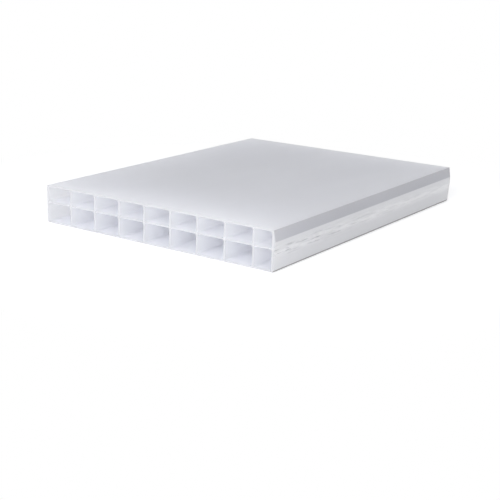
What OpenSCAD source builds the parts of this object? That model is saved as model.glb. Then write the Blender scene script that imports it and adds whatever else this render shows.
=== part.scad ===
// Opal multiwall polycarbonate sheet: a sawn piece of three-wall extruded stock.
// X runs across the flutes, Y along them and Z through the thickness.
// The origin is the centre of the face that the sheet lies on.

/* [Cut piece] */
// Length along the flutes, saw cut to saw cut
cut_length = 234; // [120:1:600]
// Cells of full width across the piece, counted from the edge wall
full_cells = 8; // [3:1:14]

/* [Section] */
// Overall thickness over both skins
thickness = 25; // [20:0.5:40]
// Distance from one rib centre to the next
rib_pitch = 20.3; // [14:0.1:30]
// Clear width of the narrow cell between the last full cell and the side wall
narrow_cell = 12.4; // [5:0.1:14]
// Clear height of the lower row of cells; the upper row takes what is left
lower_cell_height = 12.6; // [6:0.1:13]

/* [Walls] */
// Thickness of the top and bottom skins
skin = 0.9; // [0.5:0.05:1.5]
// Thickness of the upright ribs between cells
rib = 0.8; // [0.4:0.05:1.4]
// Thickness of the wall along the edge next to the first full cell
edge_wall = 1.2; // [0.6:0.05:2]
// Thickness of the middle wall
mid_wall = 0.55; // [0.3:0.05:1.2]
// Fillet in each corner of a cell
cell_fillet = 1.3; // [0.4:0.1:2]
// Outside rounding along the edge wall
edge_round = 0.8; // [0.3:0.05:1.5]

/* [Side wall] */
// Least thickness of the wall along the side next to the narrow cell
side_wall = 1.2; // [0.6:0.05:2]
// How far that side's face leans out from either skin to its upright middle
side_lean = 1.1; // [0.3:0.1:2]
// Height of each leaning part of the face
lean_height = 6.9; // [2:0.1:9.5]

/* [Hidden] */
opal = [0.86, 0.88, 0.93, 0.9];
arc_segments = 48;
// How far a cutting shape runs past the faces that it cuts through
overcut = 1;
sheet_width = edge_wall + full_cells * rib_pitch + narrow_cell + side_wall + side_lean;
// Bottom and top of each row of cells
lower_cell = [skin, skin + lower_cell_height];
upper_cell = [lower_cell[1] + mid_wall, thickness - skin];

// Distance from the edge wall's outside to the far face of a rib, or of the edge wall for 0
function far_face(index) = edge_wall + index * rib_pitch;

// The hollow of one cell, between two distances across the sheet and two heights
module cell(left, right, heights) {
    translate([left, heights[0] + cell_fillet])
        square([right - left, heights[1] - heights[0] - 2 * cell_fillet]);
    translate([left + cell_fillet, heights[0]])
        square([right - left - 2 * cell_fillet, heights[1] - heights[0]]);
    for (x = [left + cell_fillet, right - cell_fillet],
         z = [heights[0] + cell_fillet, heights[1] - cell_fillet])
        translate([x, z]) circle(r = cell_fillet, $fn = arc_segments);
}

// The outline of the sheet's section: rounded along the edge wall, blunt along the side wall
module outline() {
    polygon([[edge_round, 0], [sheet_width - side_lean, 0], [sheet_width, lean_height],
             [sheet_width, thickness - lean_height], [sheet_width - side_lean, thickness],
             [edge_round, thickness]]);
    translate([0, edge_round]) square([edge_round + overcut, thickness - 2 * edge_round]);
    for (z = [edge_round, thickness - edge_round])
        translate([edge_round, z]) circle(r = edge_round, $fn = arc_segments);
}

// The whole extruded section with its two rows of cells
module section() {
    difference() {
        outline();
        for (heights = [lower_cell, upper_cell]) {
            for (index = [0 : full_cells - 1])
                cell(far_face(index), far_face(index + 1) - rib, heights);
            cell(far_face(full_cells), far_face(full_cells) + narrow_cell, heights);
        }
    }
}

module multiwall_sheet() {
    color(opal)
        translate([-sheet_width / 2, cut_length / 2, 0])
            rotate([90, 0, 0])
                linear_extrude(cut_length) section();
}

multiwall_sheet();
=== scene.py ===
"""Studio picture of a sawn piece of opal multiwall polycarbonate sheet, built on its CAD frame.

The sheet lies flat on a white floor. Its flutes run along Y and are open at both sawn ends, its
upright edge wall faces -X and the side wall that leans out faces +X. All lengths are in metres.
"""

from __future__ import annotations

import logging
import math
from collections.abc import Sequence
from dataclasses import dataclass, replace
from enum import Enum

import bmesh
import bpy
from mathutils import Matrix, Vector, noise


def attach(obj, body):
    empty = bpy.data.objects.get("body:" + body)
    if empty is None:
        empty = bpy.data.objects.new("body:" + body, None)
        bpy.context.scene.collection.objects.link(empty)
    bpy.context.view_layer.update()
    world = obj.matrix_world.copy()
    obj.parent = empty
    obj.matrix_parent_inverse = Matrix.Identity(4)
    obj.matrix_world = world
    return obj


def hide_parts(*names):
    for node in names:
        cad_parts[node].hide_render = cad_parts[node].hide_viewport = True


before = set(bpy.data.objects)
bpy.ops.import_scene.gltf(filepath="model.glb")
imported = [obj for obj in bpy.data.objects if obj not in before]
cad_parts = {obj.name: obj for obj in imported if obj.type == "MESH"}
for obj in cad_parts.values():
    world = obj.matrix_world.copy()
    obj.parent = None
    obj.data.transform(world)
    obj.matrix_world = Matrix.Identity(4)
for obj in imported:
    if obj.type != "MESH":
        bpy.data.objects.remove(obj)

logging.basicConfig(level=logging.INFO, format="%(levelname)s %(message)s")
log = logging.getLogger("multiwall_sheet")

CAD_NODE = "multiwall_sheet"
BODY = "root"
MM = 0.001
# Distance under which two places on the sheet count as one
SLACK = 0.01 * MM
# Least part of a face's normal along an axis with which it counts as facing that way
FACING = 0.9
# Area from which a face is a wall and is shaded flat; the facets of a fillet are smaller
FLAT_FROM = 1e-4
# Widest angle between two faces that are shaded as one bend
BEND = math.radians(35)
# How far below the middle wall the streaks along the side have their middle
STREAK_DROP = 1.9 * MM

Colour = tuple[float, float, float]
# Waves per metre of a pattern along X, Y and Z
Waves = tuple[float, float, float]


class Surface(Enum):
    """Material slots of the sheet, in their order on the mesh."""

    EXTRUDED = 0
    SAWN = 1
    # The side's upper leaning band: a darker copy of the plastic that is painted shade
    SIDE_TOP = 2
    # The side's streaked middle: scuffed, with a darker body and dark streaks that are painted shade
    SCUFFED = 3
    # The side's foot, nearly black: a painted contact shadow
    FOOT = 4
    TOP = 5


# Sizes and wear of the sheet


@dataclass(frozen=True)
class SheetSizes:
    """Sizes of the extruded section and of the cut piece, as in the part's source.

    Attributes:
        length: Length along the flutes.
        thickness: Thickness over both skins.
        rib_pitch: Distance from one rib to the next.
        full_cells: Cells of full width across the piece.
        narrow_cell: Clear width of the cell beside the side wall.
        side_wall: Least thickness of the wall that leans out.
        side_lean: How far that wall's face leans out from either skin.
        lean_height: Height of each leaning part of that face.
        skin: Thickness of either skin.
        rib: Thickness of a rib.
        edge_wall: Thickness of the upright edge wall.
        mid_wall: Thickness of the middle wall.
        lower_cell_height: Clear height of the lower cells.
    """

    length: float = 234 * MM
    thickness: float = 25 * MM
    rib_pitch: float = 20.3 * MM
    full_cells: int = 8
    narrow_cell: float = 12.4 * MM
    side_wall: float = 1.2 * MM
    side_lean: float = 1.1 * MM
    lean_height: float = 6.9 * MM
    skin: float = 0.9 * MM
    rib: float = 0.8 * MM
    edge_wall: float = 1.2 * MM
    mid_wall: float = 0.55 * MM
    lower_cell_height: float = 12.6 * MM

    @property
    def width(self) -> float:
        """Overall size across the flutes."""
        cells = self.full_cells * self.rib_pitch + self.narrow_cell
        return self.edge_wall + cells + self.side_wall + self.side_lean

    @property
    def skin_edge(self) -> float:
        """X at which both skins end and the side's face begins."""
        return self.width / 2 - self.side_lean

    @property
    def end(self) -> float:
        """Distance of either sawn end from the middle."""
        return self.length / 2

    @property
    def streak_middle(self) -> float:
        """Height of the middle of the streaks along the side."""
        middle_wall = self.skin + self.lower_cell_height + self.mid_wall / 2
        return middle_wall - STREAK_DROP

    @property
    def upper_lean(self) -> float:
        """Height from which the side's face leans back to the top skin."""
        return self.thickness - self.lean_height

    @property
    def first_rib(self) -> float:
        """X of the first rib's centre, beside the upright edge wall."""
        return -self.width / 2 + self.edge_wall + self.rib_pitch - self.rib / 2


@dataclass(frozen=True)
class SheetWear:
    """Unevenness that the saw, the die and handling left on the sheet.

    Attributes:
        step: Spacing of the points along the side.
        rise: Spacing of the points up the side.
        strip: Width of the strip of each skin that joins its plain face to the side's fine grid.
        hollow: Depth of the slow hollow along the side below the middle wall.
        hollow_middle: Height of that hollow's middle.
        hollow_reach: How far the hollow goes up and down from its middle.
        streak: Depth of the torn streaks along the side.
        streak_reach: How far the streaks go up and down from their middle.
        streak_fade: Share of the side's length, from its near end, over which the streaks die out.
        long_tears: Waves per metre along and up the side of the long tears, and their place in the noise.
        short_tears: The same for the short tears.
        tear_depth: How much each kind of tear adds to the streaks or takes from them.
        tear_base: Share of the streaks' depth where there is no tear.
        foot: Height of the rounding along the side's foot, and of the strip of painted contact shadow there.
        foot_depth: How far that rounding draws in.
        end_ripple: Unevenness of the sawn ends.
        end_waves: Waves per metre of that unevenness.
    """

    step: float = 0.9 * MM
    rise: float = 0.5 * MM
    strip: float = 0.5 * MM
    hollow: float = 0.45 * MM
    hollow_middle: float = 7.5 * MM
    hollow_reach: float = 4.5 * MM
    streak: float = 0.9 * MM
    streak_reach: float = 4.2 * MM
    streak_fade: float = 0.85
    long_tears: tuple[float, float, float] = (55.0, 1300.0, 11.0)
    short_tears: tuple[float, float, float] = (240.0, 1900.0, 18.3)
    tear_depth: float = 0.9
    tear_base: float = 0.2
    foot: float = 1.0 * MM
    foot_depth: float = 0.45 * MM
    end_ripple: float = 0.12 * MM
    end_waves: float = 300.0


# Finishes


class NodeTree:
    """A node tree with short ways to add and join nodes."""

    def __init__(self, owner: bpy.types.Material | bpy.types.World) -> None:
        """Empties the owner's node tree.

        Args:
            owner: The material or world whose nodes are to be written.
        """
        owner.use_nodes = True
        self.tree = owner.node_tree
        self.tree.nodes.clear()

    def node(self, kind: str, **values: object) -> bpy.types.Node:
        """Adds a node.

        Args:
            kind: Blender's name for the node type.
            **values: Properties of the node, such as operation="ADD".

        Returns:
            The new node.
        """
        made = self.tree.nodes.new(kind)
        for key, value in values.items():
            setattr(made, key, value)
        return made

    def join(self, source: bpy.types.NodeSocket, target: bpy.types.NodeSocket) -> None:
        """Links one socket to another."""
        self.tree.links.new(source, target)

    def axes(self, where: bpy.types.NodeSocket) -> bpy.types.NodeOutputs:
        """Splits coordinates.

        Args:
            where: The coordinates.

        Returns:
            Their "X", "Y" and "Z".
        """
        made = self.node("ShaderNodeSeparateXYZ")
        self.join(where, made.inputs[0])
        return made.outputs

    def math(self, operation: str, *inputs: bpy.types.NodeSocket | float) -> bpy.types.NodeSocket:
        """Adds a math node.

        Args:
            operation: The operation's name.
            *inputs: A socket or a number for each input.

        Returns:
            The node's output.
        """
        made = self.node("ShaderNodeMath", operation=operation)
        for slot, value in zip(made.inputs, inputs):
            if isinstance(value, bpy.types.NodeSocket):
                self.join(value, slot)
            else:
                slot.default_value = value
        return made.outputs[0]

    def noise(self, where: bpy.types.NodeSocket, waves: Waves, detail: float) -> bpy.types.NodeSocket:
        """Adds a noise pattern.

        Args:
            where: The coordinates.
            waves: Waves per metre along each axis.
            detail: How many finer layers lie over it.

        Returns:
            The pattern's value.
        """
        stretched = self.node("ShaderNodeMapping")
        stretched.inputs["Scale"].default_value = waves
        self.join(where, stretched.inputs["Vector"])
        made = self.node("ShaderNodeTexNoise")
        made.inputs["Scale"].default_value = 1.0
        made.inputs["Detail"].default_value = detail
        self.join(stretched.outputs[0], made.inputs["Vector"])
        return made.outputs["Fac"]

    def ranged(
        self, value: bpy.types.NodeSocket, source: tuple[float, float], target: tuple[float, float]
    ) -> bpy.types.NodeSocket:
        """Moves a value smoothly from one range to another.

        Args:
            value: The value.
            source: Its range.
            target: The values at the two ends of that range.

        Returns:
            The new value.
        """
        made = self.node("ShaderNodeMapRange", interpolation_type="SMOOTHSTEP")
        for name, number in zip(("From Min", "From Max", "To Min", "To Max"), (*source, *target)):
            made.inputs[name].default_value = number
        self.join(value, made.inputs["Value"])
        return made.outputs["Result"]

    def mixed(
        self,
        share: bpy.types.NodeSocket,
        first: Sequence[float] | bpy.types.NodeSocket,
        second: Sequence[float] | bpy.types.NodeSocket,
    ) -> bpy.types.NodeSocket:
        """Mixes two colours.

        Args:
            share: Share of the second colour.
            first: Colour at share 0.
            second: Colour at share 1.

        Returns:
            The mixed colour.
        """
        made = self.node("ShaderNodeMix", data_type="RGBA")
        self.join(share, made.inputs["Factor"])
        for name, colour in (("A", first), ("B", second)):
            if isinstance(colour, bpy.types.NodeSocket):
                self.join(colour, made.inputs[name])
            else:
                made.inputs[name].default_value = (*(min(1.0, c) for c in colour), 1)
        return made.outputs["Result"]

    def blended(
        self,
        share: bpy.types.NodeSocket | float,
        first: bpy.types.NodeSocket,
        second: bpy.types.NodeSocket,
    ) -> bpy.types.NodeSocket:
        """Blends two shaders.

        Args:
            share: Share of the second shader.
            first: Shader at share 0.
            second: Shader at share 1.

        Returns:
            The blended shader.
        """
        made = self.node("ShaderNodeMixShader")
        if isinstance(share, bpy.types.NodeSocket):
            self.join(share, made.inputs[0])
        else:
            made.inputs[0].default_value = share
        self.join(first, made.inputs[1])
        self.join(second, made.inputs[2])
        return made.outputs[0]

    def bump(self, height: bpy.types.NodeSocket, distance: float, strength: float) -> bpy.types.NodeSocket:
        """Adds a bump node.

        Args:
            height: Height of the relief, from 0 to 1.
            distance: Depth of the relief.
            strength: Share of the relief that shows.

        Returns:
            The bumped normal.
        """
        made = self.node("ShaderNodeBump")
        made.inputs["Distance"].default_value = distance
        made.inputs["Strength"].default_value = strength
        self.join(height, made.inputs["Height"])
        return made.outputs["Normal"]


@dataclass(frozen=True)
class OpalPolycarbonate:
    """Milky polycarbonate that scatters light and lets much of it through.

    Attributes:
        name: Name of the material.
        body: Colour of the light that it sends back.
        glow: Colour of the light that it lets through.
        passing: Share of the light that each face lets through.
        roughness: Roughness of the face.
        ripple: Depth of the face's slow unevenness.
        ripple_share: Share of that unevenness that shows.
        ripple_waves: Its waves per metre.
        sink: Depth of the sink line over each rib, as a share of the unevenness.
        sink_sharpness: How narrow the sink lines are.
        saw_lines: Depth of the saw's lines, or 0 on an extruded face.
        saw_share: Share of those lines' depth that shows.
        saw_waves: Their waves per metre.
        cloud_waves: Waves per metre of the faint clouds in the plastic.
        cloud_tints: Brightness of the thinnest and the thickest cloud.
        cloud_dulling: How much rougher the thickest cloud is than the thinnest.
        refraction: The plastic's refractive index.
    """

    name: str
    body: Colour
    glow: Colour
    passing: float
    roughness: float
    ripple: float = 0.0
    ripple_share: float = 0.5
    ripple_waves: Waves = (45.0, 12.0, 45.0)
    sink: float = 0.25
    sink_sharpness: float = 6.0
    saw_lines: float = 0.0
    saw_share: float = 0.8
    saw_waves: Waves = (2600.0, 2600.0, 160.0)
    cloud_waves: Waves = (30.0, 9.0, 30.0)
    cloud_tints: tuple[float, float] = (0.97, 1.02)
    cloud_dulling: float = 0.1
    refraction: float = 1.585

    def material(self, sizes: SheetSizes) -> bpy.types.Material:
        """Builds the material.

        Args:
            sizes: The sheet's sizes, which place the sink lines and the streaks.

        Returns:
            The new material.
        """
        material = bpy.data.materials.new(self.name)
        net = NodeTree(material)
        where = net.node("ShaderNodeTexCoord").outputs["Object"]
        normal = self._relief(net, where, sizes)
        cloud = net.noise(where, self.cloud_waves, detail=3.0)
        thin, thick = ([c * tint for c in self.body] for tint in self.cloud_tints)
        colour = self._marked(net, where, sizes, net.mixed(cloud, thin, thick))
        plastic = net.node("ShaderNodeBsdfPrincipled")
        plastic.inputs["IOR"].default_value = self.refraction
        net.join(colour, plastic.inputs["Base Color"])
        dull = net.math("MULTIPLY_ADD", cloud, self.cloud_dulling, self.roughness - self.cloud_dulling / 2)
        net.join(dull, plastic.inputs["Roughness"])
        net.join(normal, plastic.inputs["Normal"])
        through = net.node("ShaderNodeBsdfTranslucent")
        through.inputs["Color"].default_value = (*self.glow, 1)
        net.join(normal, through.inputs["Normal"])
        both = net.blended(self.passing, plastic.outputs[0], through.outputs[0])
        net.join(both, net.node("ShaderNodeOutputMaterial").inputs["Surface"])
        return material

    def _marked(
        self, net: NodeTree, where: bpy.types.NodeSocket, sizes: SheetSizes, colour: bpy.types.NodeSocket
    ) -> bpy.types.NodeSocket:
        """Colour of the face with its marks, which a plain face has none of."""
        return colour

    def _relief(self, net: NodeTree, where: bpy.types.NodeSocket, sizes: SheetSizes) -> bpy.types.NodeSocket:
        """Slow unevenness and sink lines over the ribs, or the saw's lines.

        Args:
            net: The material's nodes.
            where: The coordinates.
            sizes: The sheet's sizes.

        Returns:
            Normal of the face.
        """
        if self.saw_lines:
            lines = net.noise(where, self.saw_waves, detail=4.0)
            return net.bump(lines, self.saw_lines, self.saw_share)
        from_rib = net.math("SUBTRACT", net.axes(where)["X"], sizes.first_rib)
        turns = net.math("MULTIPLY", from_rib, 2 * math.pi / sizes.rib_pitch)
        over_rib = net.math("MULTIPLY_ADD", net.math("COSINE", turns), 0.5, 0.5)
        line = net.math("POWER", over_rib, self.sink_sharpness)
        slow = net.noise(where, self.ripple_waves, detail=2.0)
        height = net.math("MULTIPLY_ADD", line, -self.sink, slow)
        return net.bump(height, self.ripple, self.ripple_share)


@dataclass(frozen=True)
class ScuffedShadedPolycarbonate(OpalPolycarbonate):
    """Opal polycarbonate with long pale streaks along the side and dark streaks that are painted shade.

    Attributes:
        pale: Colour of the torn, stress-whitened streaks.
        pale_waves: Their waves per metre.
        pale_range: Values of their pattern at which they start and are whole.
        haze: Share of the pale colour between the pale streaks.
        dark: Colour of the thin dark streaks, which are painted shade.
        dark_waves: Their waves per metre.
        dark_range: Values of their pattern at which they start and are whole.
        dark_end: Place along the side, from its near end, past which few dark streaks are left.
        dark_left: Share of the dark streaks that is left there.
        streak_reach: How far the streaks go up and down from their middle.
    """

    pale: Colour = (0.99, 0.99, 0.99)
    pale_waves: Waves = (200.0, 60.0, 560.0)
    pale_range: tuple[float, float] = (0.42, 0.56)
    haze: float = 0.3
    dark: Colour = (0.46, 0.46, 0.48)
    dark_waves: Waves = (200.0, 55.0, 1000.0)
    dark_range: tuple[float, float] = (0.54, 0.64)
    dark_end: float = 170 * MM
    dark_left: float = 0.15
    streak_reach: float = 5.2 * MM

    def _marked(
        self, net: NodeTree, where: bpy.types.NodeSocket, sizes: SheetSizes, colour: bpy.types.NodeSocket
    ) -> bpy.types.NodeSocket:
        """Lays the pale streaks and the dark streaks of painted shade over the face's colour.

        Args:
            net: The material's nodes.
            where: The coordinates.
            sizes: The sheet's sizes.
            colour: Colour of the plain face.

        Returns:
            Colour of the streaked face.
        """
        axes = net.axes(where)
        away = net.math("ABSOLUTE", net.math("SUBTRACT", axes["Z"], sizes.streak_middle))
        band = net.ranged(away, (0.0, self.streak_reach), (1.0, 0.0))
        near = net.ranged(axes["Y"], (-sizes.end, self.dark_end - sizes.end), (1.0, self.dark_left))
        torn = net.ranged(net.noise(where, self.pale_waves, detail=3.0), self.pale_range, (0.0, 1.0))
        # Pattern of the dark streaks, which are painted shade
        line = net.ranged(net.noise(where, self.dark_waves, detail=2.0), self.dark_range, (0.0, 1.0))
        hazed = net.math("MULTIPLY_ADD", torn, 1 - self.haze, self.haze)
        pale = net.mixed(net.math("MULTIPLY", band, hazed), colour, self.pale)
        # Dark streaks of painted shade laid over the pale ones
        return net.mixed(net.math("MULTIPLY", net.math("MULTIPLY", band, line), near), pale, self.dark)


OPAL = OpalPolycarbonate(
    name="opal_polycarbonate",
    body=(0.963, 0.967, 0.986),
    glow=(0.983, 0.985, 0.994),
    passing=0.76,
    roughness=0.24,
    ripple=0.12 * MM,
)

FINISHES = {
    Surface.EXTRUDED: OPAL,
    Surface.SAWN: OpalPolycarbonate(
        name="sawn_polycarbonate",
        body=(0.70, 0.702, 0.715),
        glow=(0.76, 0.76, 0.77),
        passing=0.35,
        roughness=0.55,
        saw_lines=0.06 * MM,
    ),
    # Upper leaning band of the side: a darker copy of the opal plastic, painted shade under the top edge
    Surface.SIDE_TOP: OpalPolycarbonate(
        name="side_top_painted_shade",
        body=(0.61, 0.61, 0.63),
        glow=(0.72, 0.72, 0.74),
        passing=0.55,
        roughness=0.4,
        ripple=0.05 * MM,
    ),
    # Streaked middle of the side: scuffed plastic whose body is darker than the opal plastic as painted shade
    Surface.SCUFFED: ScuffedShadedPolycarbonate(
        name="scuffed_shaded_polycarbonate",
        body=(0.81, 0.81, 0.82),
        glow=(0.90, 0.90, 0.905),
        passing=0.28,
        roughness=0.6,
        saw_lines=0.03 * MM,
    ),
    # Narrow strip along the side's foot, nearly black: a painted contact shadow
    Surface.FOOT: OpalPolycarbonate(
        name="side_foot_painted_shadow",
        body=(0.36, 0.355, 0.34),
        glow=(0.5, 0.5, 0.48),
        passing=0.2,
        roughness=0.6,
        saw_lines=0.03 * MM,
    ),
    Surface.TOP: replace(OPAL, name="top_polycarbonate", body=(0.968, 0.97, 0.99), passing=0.58),
}


# The sheet


def faded(distance: float, reach: float) -> float:
    """Share of a mark that is left at a distance from its middle, near 0 past its reach."""
    return math.exp(-((distance / reach) ** 4))


@dataclass(frozen=True)
class SawnSheet:
    """The sheet itself: the CAD section with uneven sawn ends and a scuffed side, parts of which carry
    painted shade and a painted contact shadow.

    Attributes:
        sizes: Sizes of the section and the piece.
        wear: Unevenness of its side and ends.
    """

    sizes: SheetSizes
    wear: SheetWear

    def build(self) -> bpy.types.Object:
        """Builds the piece and puts it in place of its CAD node.

        Returns:
            The new object.
        """
        shape = bmesh.new()
        shape.from_mesh(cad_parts[CAD_NODE].data)
        bmesh.ops.remove_doubles(shape, verts=shape.verts, dist=SLACK)
        self._square_up(shape)
        self._split_side(shape)
        self._mark_surfaces(shape)
        self._wear_side(shape)
        self._ripple_ends(shape)
        bmesh.ops.recalc_face_normals(shape, faces=shape.faces)
        for face in shape.faces:
            face.smooth = face.calc_area() < FLAT_FROM
        mesh = bpy.data.meshes.new("sawn_sheet")
        shape.to_mesh(mesh)
        shape.free()
        for surface in Surface:
            mesh.materials.append(FINISHES[surface].material(self.sizes))
        mesh.set_sharp_from_angle(angle=BEND)
        piece = bpy.data.objects.new("sawn_sheet", mesh)
        bpy.context.scene.collection.objects.link(piece)
        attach(piece, BODY)
        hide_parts(CAD_NODE)
        log.info("sawn_sheet: %d faces", len(mesh.polygons))
        return piece

    def _square_up(self, shape: bmesh.types.BMesh) -> None:
        """Makes each long wall one face."""
        diagonals = [edge for edge in shape.edges if self._is_diagonal(edge)]
        bmesh.ops.dissolve_edges(shape, edges=diagonals, use_verts=False)

    def _is_diagonal(self, edge: bmesh.types.BMEdge) -> bool:
        """Whether an edge runs from one end of the sheet to the other at a slant."""
        run = edge.verts[1].co - edge.verts[0].co
        return abs(run.y) > self.sizes.length - SLACK and math.hypot(run.x, run.z) > SLACK

    def _split_side(self, shape: bmesh.types.BMesh) -> None:
        """Splits the side's face into a fine grid, beside a narrow strip of each skin.

        Args:
            shape: The sheet's mesh.
        """
        bmesh.ops.bisect_plane(
            shape,
            geom=[*shape.verts, *shape.edges, *shape.faces],
            dist=SLACK,
            plane_co=(self.sizes.skin_edge - self.wear.strip, 0, 0),
            plane_no=(1, 0, 0),
        )
        for index in range(1, round(self.sizes.thickness / self.wear.rise)):
            faces = [face for face in shape.faces if self._on_side(face)]
            edges = {edge for face in faces for edge in face.edges}
            verts = {vert for face in faces for vert in face.verts}
            bmesh.ops.bisect_plane(
                shape,
                geom=[*verts, *edges, *faces],
                dist=SLACK,
                plane_co=(0, 0, index * self.wear.rise),
                plane_no=(0, 0, 1),
            )
        rows = [
            edge
            for edge in shape.edges
            if min(vert.co.x for vert in edge.verts) > self.sizes.skin_edge - SLACK
            and edge.calc_length() > self.sizes.length - SLACK
        ]
        steps = round(self.sizes.length / self.wear.step)
        bmesh.ops.subdivide_edges(shape, edges=rows, cuts=steps - 1, use_grid_fill=True)

    def _on_side(self, face: bmesh.types.BMFace) -> bool:
        """Whether a face is part of the side's outer face."""
        return face.normal.x > FACING and min(vert.co.x for vert in face.verts) > self.sizes.skin_edge - SLACK

    def _mark_surfaces(self, shape: bmesh.types.BMesh) -> None:
        """Gives the sawn ends, the top and the parts of the side their own finish; the side's upper band, its
        streaked middle and its foot get darker colours that are painted shade and a painted contact shadow.

        Args:
            shape: The sheet's mesh.
        """
        for face in shape.faces:
            middle = face.calc_center_median()
            if abs(face.normal.y) > FACING and abs(middle.y) > self.sizes.end - SLACK:
                surface = Surface.SAWN
            elif face.normal.z > FACING and middle.z > self.sizes.thickness - SLACK:
                surface = Surface.TOP
            elif not self._on_side(face):
                surface = Surface.EXTRUDED
            # The side's upper leaning band gets painted shade
            elif middle.z > self.sizes.upper_lean:
                surface = Surface.SIDE_TOP
            # A strip along the side's foot gets a painted contact shadow
            elif middle.z < self.wear.foot:
                surface = Surface.FOOT
            # The side's streaked middle: scuffed, with painted shade
            else:
                surface = Surface.SCUFFED
            face.material_index = surface.value

    def _wear_side(self, shape: bmesh.types.BMesh) -> None:
        """Draws the side's face in where it is hollow, torn or rounded.

        Args:
            shape: The sheet's mesh.
        """
        marked = (Surface.SIDE_TOP.value, Surface.SCUFFED.value, Surface.FOOT.value)
        on_side = {vert for face in shape.faces if face.material_index in marked for vert in face.verts}
        for vert in on_side:
            vert.co.x -= self._side_depth(vert.co.y, vert.co.z)

    def _side_depth(self, y: float, z: float) -> float:
        """How far the side's face is drawn in at one place.

        Args:
            y: Place along the side.
            z: Height on it.

        Returns:
            The depth.
        """
        if z > self.sizes.upper_lean - SLACK:
            return 0.0
        wear = self.wear
        foot = wear.foot_depth * max(0.0, 1.0 - z / wear.foot) ** 2
        hollow = wear.hollow * faded(z - wear.hollow_middle, wear.hollow_reach)
        near = max(0.0, 1.0 - (y + self.sizes.end) / (self.sizes.length * wear.streak_fade))
        band = faded(z - self.sizes.streak_middle, wear.streak_reach)
        return foot + hollow + wear.streak * band * math.sqrt(near) * self._torn(y, z)

    def _torn(self, y: float, z: float) -> float:
        """How torn the side is at one place, from 0 to 1.

        Args:
            y: Place along the side.
            z: Height on it.

        Returns:
            Share of the streaks' depth.
        """
        torn = self.wear.tear_base
        for along, up, place in (self.wear.long_tears, self.wear.short_tears):
            torn += self.wear.tear_depth * noise.noise(Vector((y * along, z * up, place)))
        return max(0.0, min(1.0, torn))

    def _ripple_ends(self, shape: bmesh.types.BMesh) -> None:
        """Draws points of the sawn ends back a little, unevenly.

        Args:
            shape: The sheet's mesh.
        """
        waves = self.wear.end_waves
        for vert in shape.verts:
            if abs(vert.co.y) > self.sizes.end - SLACK:
                uneven = 0.5 + 0.5 * noise.noise(Vector((vert.co.x * waves, vert.co.z * waves, vert.co.y)))
                vert.co.y -= math.copysign(self.wear.end_ripple * uneven, vert.co.y)


# Studio and camera


@dataclass(frozen=True)
class Lamp:
    """A soft square lamp.

    Attributes:
        name: Name of the lamp.
        place: Where it stands.
        width: Length of its sides.
        watts: Its power.
        colour: Its colour.
    """

    name: str
    place: tuple[float, float, float]
    width: float
    watts: float
    colour: Colour

    def build(self, target: Vector) -> bpy.types.Object:
        """Hangs the lamp so that it faces the target.

        Args:
            target: The place that it lights.

        Returns:
            The new lamp.
        """
        data = bpy.data.lights.new(self.name, "AREA")
        data.shape = "SQUARE"
        data.size = self.width
        data.energy = self.watts
        data.color = self.colour
        lamp = bpy.data.objects.new(self.name, data)
        bpy.context.scene.collection.objects.link(lamp)
        lamp.location = self.place
        lamp.rotation_euler = (target - lamp.location).to_track_quat("-Z", "Y").to_euler()
        return lamp


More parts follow.
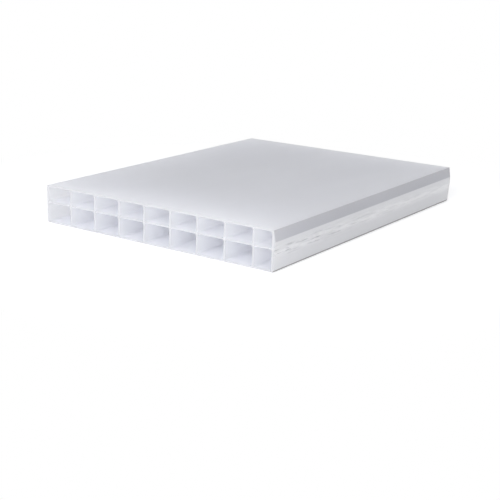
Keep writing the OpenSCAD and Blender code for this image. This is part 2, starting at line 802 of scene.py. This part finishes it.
@dataclass(frozen=True)
class Studio:
    """White floor, soft sky and lamps.

    Attributes:
        lamps: The lamps.
        target: The place that the lamps light, in the middle of the sheet.
        zenith: Brightness of the sky overhead.
        horizon: Brightness of the sky low down, all the way round.
        horizon_height: Sine of the height at which the horizon's brightness has gone.
        sky_colour: Colour of the sky's light.
        floor_reach: Half the floor's size.
        floor_gap: Air between the floor and the sheet, which never lies quite flat.
        floor_colour: Grey that the floor lights the sheet with.
        floor_seen: Grey that the camera sees the floor with.
        floor_lift: Light that the camera sees the floor give off.
        white_from: Distances from the sheet's middle at which the floor starts to be and is plain white.
    """

    lamps: tuple[Lamp, ...]
    target: tuple[float, float, float] = (0.0, 0.0, 12.5 * MM)
    zenith: float = 0.72
    horizon: float = 0.62
    horizon_height: float = 0.55
    sky_colour: Colour = (0.98, 0.985, 1.0)
    floor_reach: float = 9.0
    floor_gap: float = 0.06 * MM
    floor_colour: float = 0.95
    floor_seen: float = 1.0
    floor_lift: float = 0.2
    white_from: tuple[float, float] = (0.16, 0.26)

    def build(self) -> None:
        """Builds the floor, the sky and the lamps."""
        self._floor()
        self._sky()
        for lamp in self.lamps:
            lamp.build(Vector(self.target))
        log.info("studio: %d lamps", len(self.lamps))

    def _floor(self) -> None:
        """Lays a level floor that is pure white away from the sheet and keeps its shadow."""
        shape = bmesh.new()
        level = Matrix.Translation((0, 0, -self.floor_gap))
        bmesh.ops.create_grid(shape, x_segments=2, y_segments=2, size=self.floor_reach, matrix=level)
        mesh = bpy.data.meshes.new("floor")
        shape.to_mesh(mesh)
        shape.free()
        mesh.materials.append(self._floor_material())
        floor = bpy.data.objects.new("floor", mesh)
        bpy.context.scene.collection.objects.link(floor)

    def _floor_material(self) -> bpy.types.Material:
        """White for the camera, with the shadow near the sheet; softer white for its light.

        Returns:
            The new material.
        """
        material = bpy.data.materials.new("floor_white")
        net = NodeTree(material)
        seen = net.node("ShaderNodeLightPath").outputs["Is Camera Ray"]
        paint = net.node("ShaderNodeBsdfDiffuse")
        shade = net.math("MULTIPLY_ADD", seen, self.floor_seen - self.floor_colour, self.floor_colour)
        net.join(shade, paint.inputs["Color"])
        lift = net.node("ShaderNodeEmission")
        net.join(net.math("MULTIPLY", seen, self.floor_lift), lift.inputs["Strength"])
        near = net.node("ShaderNodeAddShader")
        net.join(paint.outputs[0], near.inputs[0])
        net.join(lift.outputs[0], near.inputs[1])
        distance = net.node("ShaderNodeVectorMath", operation="LENGTH")
        net.join(net.node("ShaderNodeTexCoord").outputs["Object"], distance.inputs[0])
        away = net.ranged(distance.outputs["Value"], self.white_from, (0.0, 1.0))
        far = net.node("ShaderNodeEmission")
        floor = net.blended(net.math("MULTIPLY", away, seen), near.outputs[0], far.outputs[0])
        net.join(floor, net.node("ShaderNodeOutputMaterial").inputs["Surface"])
        return material

    def _sky(self) -> None:
        """Gives soft light from all round, brightest overhead, which the camera sees as white."""
        world = bpy.data.worlds.new("studio_sky")
        bpy.context.scene.world = world
        net = NodeTree(world)
        seen = net.node("ShaderNodeLightPath").outputs["Is Camera Ray"]
        height = net.axes(net.node("ShaderNodeTexCoord").outputs["Generated"])["Z"]
        glow = net.ranged(height, (0.0, self.horizon_height), (self.horizon, self.zenith))
        soft = net.node("ShaderNodeBackground")
        soft.inputs["Color"].default_value = (*self.sky_colour, 1)
        net.join(glow, soft.inputs["Strength"])
        white = net.node("ShaderNodeBackground")
        white.inputs["Color"].default_value = (1, 1, 1, 1)
        sky = net.blended(seen, soft.outputs[0], white.outputs[0])
        net.join(sky, net.node("ShaderNodeOutputWorld").inputs["Surface"])


@dataclass(frozen=True)
class PhotoCamera:
    """The photograph's viewpoint, as fitted to the sheet's corners.

    Attributes:
        place: Where the camera stands.
        turn: Its direction across the floor, in degrees from +Y towards +X.
        tilt: How far it looks down, in degrees.
        roll: How far it is turned about its own axis, in degrees.
        focal_pixels: Focal length in pixels of the square picture.
        picture: Width of the picture in pixels.
        sensor: Width of the sensor in millimetres, as Blender has it.
        nearest: Distance from which the camera sees.
    """

    place: tuple[float, float, float] = (0.40725, -0.61015, 0.18142)
    turn: float = -34.204
    tilt: float = 15.984
    roll: float = 1.587
    focal_pixels: float = 1081.1
    picture: int = 500
    sensor: float = 36.0
    nearest: float = 10 * MM

    def build(self) -> bpy.types.Object:
        """Sets up the camera and makes it the scene's own.

        Returns:
            The new camera.
        """
        turn, tilt, roll = (math.radians(angle) for angle in (self.turn, self.tilt, self.roll))
        ahead = Vector((math.sin(turn) * math.cos(tilt), math.cos(turn) * math.cos(tilt), -math.sin(tilt)))
        level = Vector((math.cos(turn), -math.sin(turn), 0))
        above = level.cross(ahead)
        right = level * math.cos(roll) + above * math.sin(roll)
        up = above * math.cos(roll) - level * math.sin(roll)
        data = bpy.data.cameras.new("photo_camera")
        data.sensor_width = self.sensor
        data.lens = self.focal_pixels / self.picture * self.sensor
        data.clip_start = self.nearest
        camera = bpy.data.objects.new("photo_camera", data)
        bpy.context.scene.collection.objects.link(camera)
        columns = Matrix((right, up, -ahead)).transposed().to_4x4()
        camera.matrix_world = Matrix.Translation(self.place) @ columns
        bpy.context.scene.camera = camera
        return camera


@dataclass(frozen=True)
class LightPaths:
    """How often light may be scattered, which thin milky walls need much of.

    Attributes:
        diffuse: Times that it may be sent back.
        transmission: Times that it may go through.
        total: Times in all.
    """

    diffuse: int = 12
    transmission: int = 16
    total: int = 24

    def apply(self) -> None:
        """Sets the scene's light paths."""
        cycles = bpy.context.scene.cycles
        cycles.diffuse_bounces = self.diffuse
        cycles.transmission_bounces = self.transmission
        cycles.max_bounces = self.total


def main() -> None:
    """Builds the sheet, the studio and the camera."""
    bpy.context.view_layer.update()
    SawnSheet(SheetSizes(), SheetWear()).build()
    Studio(
        lamps=(
            Lamp("key_lamp", place=(0.60, -0.60, 0.87), width=0.35, watts=1.6, colour=(1.0, 0.995, 0.985)),
            Lamp("fill_lamp", place=(0.18, -1.40, 0.44), width=1.0, watts=12.5, colour=(0.96, 0.965, 1.0)),
        ),
    ).build()
    PhotoCamera().build()
    bpy.context.scene.view_settings.view_transform = "Standard"
    LightPaths().apply()


if __name__ == "__main__":
    main()
